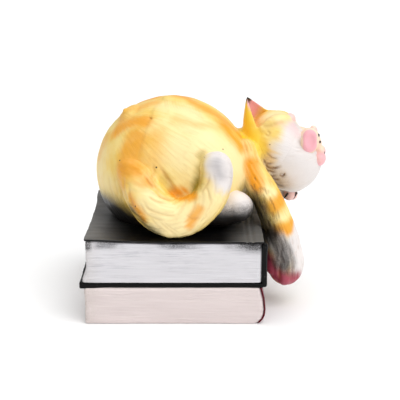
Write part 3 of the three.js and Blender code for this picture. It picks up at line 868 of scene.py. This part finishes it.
class Paint:
    """A node material with short ways to add the nodes that paint needs."""

    def __init__(self, name, roughness, coat=0.0, specular=0.4):
        self.material = bpy.data.materials.new(name)
        self.material.use_nodes = True
        self.nodes = self.material.node_tree.nodes
        self.links = self.material.node_tree.links
        self.shader = self.nodes["Principled BSDF"]
        self.shader.inputs["Roughness"].default_value = roughness
        self.shader.inputs["Coat Weight"].default_value = coat
        self.shader.inputs["Coat Roughness"].default_value = 0.25
        self.shader.inputs["Specular IOR Level"].default_value = specular
        self.place = self.nodes.new("ShaderNodeTexCoord").outputs["Object"]

    def set(self, socket, value):
        """Links a node's output to a socket, or sets the socket to a value."""
        if hasattr(value, "is_output"):
            self.links.new(value, socket)
        else:
            socket.default_value = value

    def attribute(self, name, part="Fac"):
        node = self.nodes.new("ShaderNodeAttribute")
        node.attribute_name = name
        return node.outputs[part]

    def scaled(self, vector, scale):
        node = self.nodes.new("ShaderNodeVectorMath")
        node.operation = "MULTIPLY"
        self.set(node.inputs[0], vector)
        node.inputs[1].default_value = scale
        return node.outputs[0]

    def math(self, operation, a, b=0.0, clamp=False):
        node = self.nodes.new("ShaderNodeMath")
        node.operation = operation
        node.use_clamp = clamp
        self.set(node.inputs[0], a)
        self.set(node.inputs[1], b)
        return node.outputs[0]

    def times(self, a, b, clamp=False):
        return self.math("MULTIPLY", a, b, clamp)

    def plus(self, a, b, clamp=False):
        return self.math("ADD", a, b, clamp)

    def axes(self, vector):
        """The X, Y and Z of a vector."""
        node = self.nodes.new("ShaderNodeSeparateXYZ")
        self.links.new(vector, node.inputs[0])
        return node.outputs

    def noise(self, scale, detail=3.0, roughness=0.5, vector=None):
        node = self.nodes.new("ShaderNodeTexNoise")
        self.set(node.inputs["Vector"], vector or self.place)
        node.inputs["Scale"].default_value = scale
        node.inputs["Detail"].default_value = detail
        node.inputs["Roughness"].default_value = roughness
        return node.outputs["Fac"]

    def remap(self, value, low, high, to_low=0.0, to_high=1.0):
        node = self.nodes.new("ShaderNodeMapRange")
        node.interpolation_type = "SMOOTHSTEP"
        self.set(node.inputs["Value"], value)
        for socket, number in zip(node.inputs[1:5], (low, high, to_low, to_high)):
            socket.default_value = number
        return node.outputs[0]

    def mix(self, share, a, b):
        """Mixes two colours. A mix node's colour sockets come after those of its other types."""
        node = self.nodes.new("ShaderNodeMix")
        node.data_type = "RGBA"
        self.set(node.inputs["Factor"], share)
        self.set(node.inputs[6], a)
        self.set(node.inputs[7], b)
        return node.outputs[2]

    def finish(self, colour, height, distance_mm, strength):
        """Sets the colour and the bump, and returns the material."""
        self.set(self.shader.inputs["Base Color"], colour)
        node = self.nodes.new("ShaderNodeBump")
        node.inputs["Strength"].default_value = strength
        node.inputs["Distance"].default_value = distance_mm * MM
        self.set(node.inputs["Height"], height)
        self.set(self.shader.inputs["Normal"], node.outputs[0])
        return self.material

    def pinholes(self, spacing_mm, size):
        """Sparse round specks, one in a few cells: 1 in a speck, 0 outside."""
        node = self.nodes.new("ShaderNodeTexVoronoi")
        self.set(node.inputs["Vector"], self.place)
        node.inputs["Scale"].default_value = 1000 / spacing_mm
        speck = self.remap(node.outputs["Distance"], size, size * 1.8, 1.0, 0.0)
        split = self.nodes.new("ShaderNodeSeparateColor")
        self.links.new(node.outputs["Color"], split.inputs[0])
        chosen = self.remap(split.outputs[0], 0.62, 0.64)
        return self.times(speck, chosen)


# The layers in the order they go on: colour, and how far its grain breaks up the spray's edge.
# A mesh has a mask of the same name for each.
COAT_LAYERS = {
    "cream": (srgb(251, 230, 170), 0.3),
    "orange": (srgb(240, 160, 30), 0.4),
    "yellow": (srgb(252, 210, 36), 0.3),
    # the colour of the painted shade on the yellow coat
    "painted_shade": (srgb(158, 132, 20), 0.4),
    "white": (srgb(228, 221, 218), 0.3),
    "grey": (srgb(172, 168, 170), 0.3),
    "brown": (srgb(136, 98, 56), 0.8),
    "ink": (srgb(104, 78, 52), 0.8),
    "pink": (srgb(244, 172, 186), 0.3),
    "blush": (srgb(247, 203, 194), 0.3),
    "red": (srgb(170, 66, 86), 0.5),
    "black": (srgb(26, 22, 20), 0.9),
}
WASH = srgb(176, 112, 36)


def coat_paint(name, light, dark):
    """Sprayed coats over a base colour, with a wash left in the grooves."""
    paint = Paint(name, 0.42, 0.12)
    hair = paint.attribute("hair", "Vector")
    strands = paint.noise(1.0, 4.0, 0.6, paint.scaled(hair, (1.6, 1.5, 1.5)))
    streaks = paint.noise(1.0, 3.0, 0.6, paint.scaled(hair, (0.8, 0.5, 0.5)))
    grain = paint.noise(1500.0, 2.0, 0.7)
    clouds = paint.noise(55.0, 3.0, 0.5)
    colour = paint.mix(paint.remap(clouds, 0.35, 0.65), light, dark)
    colour = paint.mix(paint.remap(streaks, 0.5, 0.75, 0.0, 0.5), colour, light)
    broken = paint.plus(paint.times(grain, 0.55), paint.times(strands, 0.45))
    broken = paint.math("SUBTRACT", broken, 0.5)
    for layer, (tint, grit) in COAT_LAYERS.items():
        mask = paint.attribute(layer)
        edge = paint.times(mask, paint.math("SUBTRACT", 1.0, mask))
        shift = paint.times(paint.times(broken, grit * 8.0), edge)
        colour = paint.mix(paint.plus(mask, shift, True), colour, tint)
    wash = paint.times(paint.attribute("wash"), 0.4)
    for layer, cover in (("black", 0.9), ("white", 0.6)):
        bare = paint.math("SUBTRACT", 1.0, paint.times(paint.attribute(layer), cover))
        wash = paint.times(wash, bare)
    colour = paint.mix(wash, colour, WASH)
    specks = paint.pinholes(15.0, 0.036)
    colour = paint.mix(specks, colour, srgb(50, 34, 16))
    paint.set(paint.shader.inputs["Roughness"], paint.remap(streaks, 0.3, 0.7, 0.36, 0.52))
    height = paint.math("SUBTRACT", paint.plus(strands, paint.times(grain, 0.15)), specks)
    return paint.finish(colour, height, 0.5, 0.6)


def skin_paint(name, light, dark, roughness):
    """Smooth paint that is darker where the brush left more of it."""
    paint = Paint(name, roughness, 0.15)
    clouds = paint.noise(170.0, 4.0, 0.6)
    grain = paint.noise(1500.0, 2.0, 0.6)
    colour = paint.mix(paint.remap(clouds, 0.4, 0.7), light, dark)
    return paint.finish(colour, grain, 0.12, 0.4)


def page_paint(name, base, shade, streaking, dark_edge_height):
    """Page edges: moulded lines with dry-brushed streaks along them."""
    paint = Paint(name, 0.55)
    long_streaks = paint.noise(1.0, 5.0, 0.7, paint.scaled(paint.place, (16.0, 16.0, 520.0)))
    short_streaks = paint.noise(1.0, 4.0, 0.7, paint.scaled(paint.place, (70.0, 70.0, 1300.0)))
    blotch = paint.noise(24.0, 3.0, 0.5)
    grain = paint.noise(1400.0, 2.0, 0.7)
    dry = paint.plus(paint.times(long_streaks, 0.55), paint.times(short_streaks, 0.45))
    dry = paint.times(paint.remap(dry, 0.5, 0.7), paint.remap(blotch, 0.38, 0.62, 0.25, 1.0))
    x, _, z = paint.axes(paint.place)
    dry = paint.times(dry, paint.remap(z, 0.044, 0.066, 0.5, 1.0))
    colour = paint.mix(paint.times(dry, streaking), base, shade)
    warm = paint.times(paint.remap(x, -0.084, -0.06, 0.6, 0.0), paint.remap(grain, 0.35, 0.65))
    colour = paint.mix(warm, colour, srgb(196, 186, 174))
    rim = paint.remap(z, dark_edge_height - 0.006, dark_edge_height)
    rim = paint.times(rim, paint.remap(blotch, 0.48, 0.66))
    for low, high, foot in ((0.045, 0.072, 0.011), (-0.071, -0.0755, 0.008)):
        top = paint.remap(z, dark_edge_height - foot, dark_edge_height - 0.002)
        rim = paint.plus(rim, paint.times(paint.remap(x, low, high), top))
    rim = paint.times(rim, paint.remap(grain, 0.4, 0.6, 0.3, 1.0), True)
    colour = paint.mix(rim, colour, srgb(30, 28, 28))
    colour = paint.mix(paint.pinholes(16.0, 0.026), colour, srgb(120, 100, 100))
    return paint.finish(colour, paint.plus(short_streaks, paint.times(grain, 0.15)), 0.3, 0.6)


def cover_paint(name, base, worn, sheen_and_scuff):
    """Satin cover: brush marks, and a painted sheen towards its two ends: a painted reflection on the
    faces that look up.
    """
    paint = Paint(name, 0.36, 0.05, 0.2)
    strokes = paint.noise(1.0, 4.0, 0.6, paint.scaled(paint.place, (30.0, 150.0, 150.0)))
    clouds = paint.noise(24.0, 3.0, 0.55)
    grain = paint.noise(1300.0, 2.0, 0.7)
    x = paint.axes(paint.place)[0]
    # painted sheen: the top is lightened towards the fore-edge and the spine, as a painted reflection
    # of the light
    fore_edge = paint.remap(x, -0.088, -0.035, 1.0, 0.0)
    spine = paint.remap(x, 0.04, 0.072, 0.0, 0.85)
    painted_sheen = paint.times(paint.plus(fore_edge, spine), paint.remap(clouds, 0.3, 0.6, 0.55, 1.0))
    facing_up = paint.axes(paint.nodes.new("ShaderNodeNewGeometry").outputs["Normal"])[2]
    painted_sheen = paint.times(painted_sheen, paint.remap(facing_up, 0.6, 0.95))
    colour = paint.mix(paint.remap(clouds, 0.45, 0.75, 0.0, 0.4), base, worn)
    colour = paint.mix(paint.times(painted_sheen, 0.95), colour, sheen_and_scuff)
    colour = paint.mix(paint.remap(strokes, 0.6, 0.8, 0.0, 0.25), colour, sheen_and_scuff)
    paint.set(paint.shader.inputs["Roughness"], paint.remap(strokes, 0.3, 0.7, 0.3, 0.46))
    return paint.finish(colour, paint.plus(strokes, paint.times(grain, 0.1)), 0.4, 0.5)


def edge_paint(name, base, chip):
    """Satin paint on the edges of the boards and on the spines, rubbed through here and there."""
    paint = Paint(name, 0.3, 0.0, 0.12)
    chips = paint.noise(210.0, 4.0, 0.7)
    colour = paint.mix(paint.remap(chips, 0.66, 0.74, 0.0, 0.8), base, chip)
    return paint.finish(colour, chips, 0.3, 0.5)


def floor_paint():
    """Nearly white paper."""
    paint = Paint("floor_paint", 0.7)
    colour = paint.mix(paint.noise(4.0, 2.0), srgb(254, 254, 254), srgb(251, 251, 251))
    paint.set(paint.shader.inputs["Base Color"], colour)
    return paint.material


UPPER_PAGES_RIM_M = 0.0745      # black has run down on to the upper pages from here
NO_RIM_M = 0.2                  # above everything: the lower pages have none
MATERIALS = {
    "cat_fur_paint": coat_paint("cat_paint", srgb(248, 220, 136), srgb(242, 202, 96)),
    "mouse_paint": coat_paint("mouse_paint", srgb(250, 226, 202), srgb(246, 212, 184)),
    "bead_black_paint": skin_paint("bead_paint", srgb(10, 10, 10), srgb(22, 20, 20), 0.12),
    "upper_pages_paint": page_paint("upper_pages_paint", srgb(224, 222, 226), srgb(140, 141, 152),
                                    0.7, UPPER_PAGES_RIM_M),
    "lower_pages_paint": page_paint("lower_pages_paint", srgb(229, 216, 214), srgb(206, 184, 186),
                                    0.35, NO_RIM_M),
    # the last colour is both the painted sheen and the lighter brush marks
    "black_cover_paint": cover_paint("black_cover_paint", srgb(12, 11, 12), srgb(28, 24, 22),
                                     srgb(114, 112, 109)),
    "board_edge_paint": edge_paint("board_edge_paint", srgb(10, 9, 10), srgb(120, 112, 108)),
    "burgundy_cover_paint": edge_paint("burgundy_paint", srgb(96, 10, 30), srgb(44, 8, 16)),
}


def dress(piece, node, material):
    """Gives a piece its material and its place on the body, and hides the CAD part of the node that
    it stands for.
    """
    piece.data.materials.clear()
    piece.data.materials.append(MATERIALS[material])
    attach(piece, "root")
    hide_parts(node)


# ---- Cat and mouse ----

def make_cat():
    """The cat, flat where it lies on the books."""
    for name, points, quads, seam in sculpt(CAT_FORMS, CAT_VOXEL, SHELF - SINK):
        hair = hair_of(name, points)
        normals = vertex_normals(points, quads)
        points, wash, ink = comb(name, points, normals, hair, seam)
        if name not in HANGING:
            points[:, 2] = np.maximum(points[:, 2], SHELF - SINK)
        masks = airbrush(name, points, normals, hair)
        masks["wash"], masks["ink"] = wash, ink
        dress(make_mesh(name + "_sculpt", points, quads, hair, masks), name, "cat_fur_paint")


def make_mouse():
    """The mouse: plain skin with two glossy black eyes."""
    for name, points, quads, _ in sculpt(MOUSE_FORMS, MOUSE_VOXEL):
        normals = vertex_normals(points, quads)
        points = points + normals * (0.12 * noise(points / 4.0, 3))[:, None]
        if name.endswith("eye"):
            dress(make_mesh(name + "_sculpt", points, quads), name, "bead_black_paint")
            continue
        hair = hair_of(name, points)
        masks = airbrush(name, points, normals, hair)
        masks["wash"] = np.zeros(len(points), np.float32)
        dress(make_mesh(name + "_sculpt", points, quads, hair, masks), name, "mouse_paint")


# ---- Books ----

def lattice_box(low, high, spacing):
    """The surface of a box as a lattice of quads."""
    low, high = np.array(low, float), np.array(high, float)
    counts = np.maximum(np.round((high - low) / spacing).astype(int), 2)
    index = {}
    points = []
    quads = []

    def corner(spot):
        if spot not in index:
            index[spot] = len(points)
            points.append(spot)
        return index[spot]

    for axis in range(3):
        a, b = (axis + 1) % 3, (axis + 2) % 3
        for end in (0, counts[axis]):
            for i in range(counts[a]):
                for j in range(counts[b]):
                    ring = []
                    for di, dj in ((0, 0), (1, 0), (1, 1), (0, 1)):
                        spot = [0, 0, 0]
                        spot[axis], spot[a], spot[b] = end, i + di, j + dj
                        ring.append(corner(tuple(int(v) for v in spot)))
                    quads.append(ring if end else ring[::-1])
    points = low + np.array(points, float) / counts * (high - low)
    return points, np.array(quads)


def soften(points, low, high, radius):
    """Rounds the edges of a lattice box."""
    inside = np.clip(points, np.array(low) + radius, np.array(high) - radius)
    out = points - inside
    length = np.linalg.norm(out, axis=1, keepdims=True)
    return np.where(length > 1e-9, inside + out / np.maximum(length, 1e-9) * radius, points)


def node_box(node):
    """The corners of a node's box in millimetres."""
    low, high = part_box(node)
    return np.array(low) / MM, np.array(high) / MM


PAGE_LATTICE = (2.4, 2.4, 0.42)
BOARD_LATTICE = (1.3, 1.9, 0.6)
SPINE_LATTICE = (0.65, 2.0, 0.9)
PAGE_CORNER = 2.2        # radii of the edges
BOARD_CORNER = 1.3
SPINE_CORNER = 2.3
LOWER_SPINE_CORNER = 0.8
PAGE_SPACING = 1.25      # one moulded line of the page edges
PAGE_DEPTH = 0.22
PAGE_SWELL = 0.45
PAGE_BAND = (2.5, 0.5)   # how far in from a side the moulded lines start, and are whole
FORE_EDGE_FLARE = 4.0    # how far the upper pages' fore-edge runs out to the board below
FORE_EDGE_THICKER = 1.04  # how much the bottom board swells there, on either face
FORE_EDGE_SLANT = 3.0    # how far its far corner sticks out
CORNER_LIFT = 2.3        # how far the near corner of the fore-edge stands up
BOARD_WEAR = 0.45        # how far the edges of a board are worn in
HINGE_GROOVES = (64.6, 69.6)
GROOVE_WIDTH = 1.5
LOWER_BOOK_OUT = (2.2, 2.0)        # how far it stands out past the CAD, in X and Y
LOWER_SPINE_THICKNESS = 1.9
LOWER_SPINE_LAP = (2.2, 0.6)       # how far it laps round the near and far ends
UPPER_SPINE_LAP = 0.8
BOARD_UNDER = 34.3       # the bottom board is thin at its edge: the pages' paint laps over it
BOARD_OVER = 38.2
TOP_BOARD_UNDER = 75.9
UPPER_PAGES_END = 77.6   # the spines wrap round the ends of the pages from here
LOWER_PAGES_END = 80.4
# the spine end of the lower book: height, inset
ROUNDED_END = [(0, 8), (2, 4.6), (5, 2), (9, 0.5), (14, 0), (24, 1), (30, 2.6), (34.3, 4)]


def warp(points):
    """The casting is not true: one corner of the fore-edge stands up and the other sticks out."""
    near_corner = smoothstep(-15, -84, points[:, 0]) * smoothstep(-10, -82, points[:, 1])
    points[:, 2] += CORNER_LIFT * near_corner * smoothstep(50, 76, points[:, 2])
    far_corner = smoothstep(-40, -80, points[:, 0]) * smoothstep(20, 82, points[:, 1])
    points[:, 0] -= FORE_EDGE_SLANT * far_corner
    return points


def round_end(points):
    """Draws the spine end of the lower book in at its top and bottom."""
    heights, insets = zip(*ROUNDED_END)
    inset = np.interp(points[:, 2], heights, insets)
    points[:, 0] -= inset * smoothstep(60, LOWER_PAGES_END, points[:, 0])


def make_pages(node, material, low, high, flare, rounded=False):
    """A page block: lines round three sides, and a fore-edge that flares to the board below."""
    points, quads = lattice_box(low, high, PAGE_LATTICE)
    points = soften(points, low, high, PAGE_CORNER)
    insets = (points[:, 0] - low[0], points[:, 1] - low[1], high[1] - points[:, 1])
    side = np.max([smoothstep(*PAGE_BAND, inset) for inset in insets], axis=0)
    wander = 0.8 * noise(points / [45, 45, 9], 51)
    lines = np.sin((points[:, 2] + wander) * 2 * math.pi / PAGE_SPACING)
    depth = PAGE_DEPTH * (lines + 0.9 * noise(points / [16, 16, 0.9], 52)) - 0.5 * PAGE_DEPTH
    swell = PAGE_SWELL * noise(points / [30, 30, 16], 53)
    middle = (low + high) / 2
    for axis in (0, 1):
        reach = np.abs(points[:, axis] - middle[axis]) / ((high - low)[axis] / 2)
        outward = np.sign(points[:, axis] - middle[axis]) * smoothstep(0.97, 1.0, reach)
        points[:, axis] += outward * side * (depth + swell - 0.4)
    lip = smoothstep(low[2] + 16, low[2] + 1, points[:, 2]) * smoothstep(-60, -80, points[:, 0])
    points[:, 0] -= flare * lip
    if rounded:
        round_end(points)
    dress(make_mesh(node + "_sculpt", warp(points), quads), node, material)


def make_board(node, material, low, high, grooved=False):
    """A cover board with soft worn edges, and hinge grooves beside the spine."""
    points, quads = lattice_box(low, high, BOARD_LATTICE)
    points = soften(points, low, high, min(BOARD_CORNER, (high - low)[2] / 2 - 0.1))
    points[:, 2] += 0.22 * noise(points / 34, 61) * smoothstep(0, 5, points[:, 0] - low[0])
    edge = 0.5 * noise(points / [12, 12, 30], 62) + 0.25 * noise(points / [4, 4, 8], 63)
    for axis in (0, 1):
        near_low = smoothstep(3, 0, points[:, axis] - low[axis])
        near_high = smoothstep(3, 0, high[axis] - points[:, axis])
        points[:, axis] += (near_low - near_high) * (BOARD_WEAR + 0.6 * edge)
    if grooved:
        for groove in HINGE_GROOVES:
            gap = (points[:, 0] - groove - 0.5 * noise(points / 22, 64)) / GROOVE_WIDTH
            level = (points[:, 2] - low[2]) / (high[2] - low[2])
            points[:, 2] -= np.exp(-gap**2) * level.clip(0, 1)
    else:
        thicker = FORE_EDGE_THICKER * smoothstep(-56, -80, points[:, 0])
        points[:, 2] += thicker * np.sign(points[:, 2] - (low[2] + high[2]) / 2)
    dress(make_mesh(node + "_sculpt", warp(points), quads), node, material)


def make_spine(node, material, low, high, radius, rounded=False):
    """A spine, uneven along its outer face."""
    points, quads = lattice_box(low, high, SPINE_LATTICE)
    points = soften(points, low, high, radius)
    swell = 0.35 * noise(points / [20, 26, 9], 71) - 0.3
    points[:, 0] += swell * smoothstep(low[0] + 1, high[0], points[:, 0])
    if rounded:
        round_end(points)
    dress(make_mesh(node + "_sculpt", points, quads), node, material)


def make_books():
    """Both books, from the CAD's boxes with their edges moved to where they are seen."""
    low, high = node_box("lower_book_pages")
    low[:2] -= LOWER_BOOK_OUT
    high[0], high[2] = LOWER_PAGES_END, BOARD_UNDER
    make_pages("lower_book_pages", "lower_pages_paint", low, high, 0.0, True)
    low, high = node_box("lower_book_spine")
    low[0], high[0] = LOWER_PAGES_END, LOWER_PAGES_END + LOWER_SPINE_THICKNESS
    low[1] -= LOWER_SPINE_LAP[0]
    high[1] += LOWER_SPINE_LAP[1]
    high[2] = BOARD_UNDER
    make_spine("lower_book_spine", "burgundy_cover_paint", low, high, LOWER_SPINE_CORNER, True)
    low, high = node_box("upper_book_bottom_board")
    low[2], high[2] = BOARD_UNDER, BOARD_OVER
    make_board("upper_book_bottom_board", "board_edge_paint", low, high)
    low, high = node_box("upper_book_pages")
    low[2], high[2], high[0] = BOARD_OVER, TOP_BOARD_UNDER - 0.2, UPPER_PAGES_END
    make_pages("upper_book_pages", "upper_pages_paint", low, high, FORE_EDGE_FLARE)
    low, high = node_box("upper_book_spine")
    low[0], low[2], high[2] = UPPER_PAGES_END, BOARD_UNDER, high[2] - 0.6
    low[1] -= UPPER_SPINE_LAP
    high[1] += UPPER_SPINE_LAP
    make_spine("upper_book_spine", "board_edge_paint", low, high, SPINE_CORNER)
    low, high = node_box("upper_book_top_board")
    low[2] = TOP_BOARD_UNDER
    make_board("upper_book_top_board", "black_cover_paint", low, high, grooved=True)


# ---- Studio ----

CAMERA_PLACE_M = (0.022857, -0.895682, 0.365297)
CAMERA_TILT = 73
LENS = 88.29
SENSOR_WIDTH = 36.0
SUNS = {                # the direction it stands in, its spread in degrees, its strength
    "key": ((0.5, -0.55, 1.0), 50, 1.35),
    "top": ((0.1, 0.15, 1.0), 70, 1.1),
    "side": ((1.0, -0.5, 0.6), 50, 0.3),
}
WORLD_LIGHT = 0.48
FLOOR_CORNERS_M = [(-6, -6, 0), (6, -6, 0), (6, 9, 0), (-6, 9, 0)]


def make_camera():
    data = bpy.data.cameras.new("camera")
    data.sensor_width = SENSOR_WIDTH
    data.lens = LENS
    camera = add_object("camera", data)
    camera.location = CAMERA_PLACE_M
    camera.rotation_euler = (math.radians(CAMERA_TILT), 0, 0)
    bpy.context.scene.camera = camera


def make_sun(name, place, spread, strength):
    """A very large soft box far away, given by the direction it stands in."""
    data = bpy.data.lights.new(name, "SUN")
    data.angle = math.radians(spread)
    data.energy = strength
    add_object(name, data).rotation_euler = Vector(place).to_track_quat("Z", "Y").to_euler()


def make_studio():
    """A pale floor under soft white light."""
    mesh = bpy.data.meshes.new("floor")
    mesh.from_pydata(FLOOR_CORNERS_M, [], [(0, 1, 2, 3)])
    mesh.materials.append(floor_paint())
    add_object("floor", mesh)
    world = bpy.data.worlds.new("studio")
    world.use_nodes = True
    background = world.node_tree.nodes["Background"]
    background.inputs["Color"].default_value = (1, 1, 1, 1)
    background.inputs["Strength"].default_value = WORLD_LIGHT
    bpy.context.scene.world = world
    for name, (place, spread, strength) in SUNS.items():
        make_sun(name, place, spread, strength)
    bpy.context.scene.view_settings.view_transform = "Standard"


make_camera()
make_studio()
make_books()
make_cat()
make_mouse()
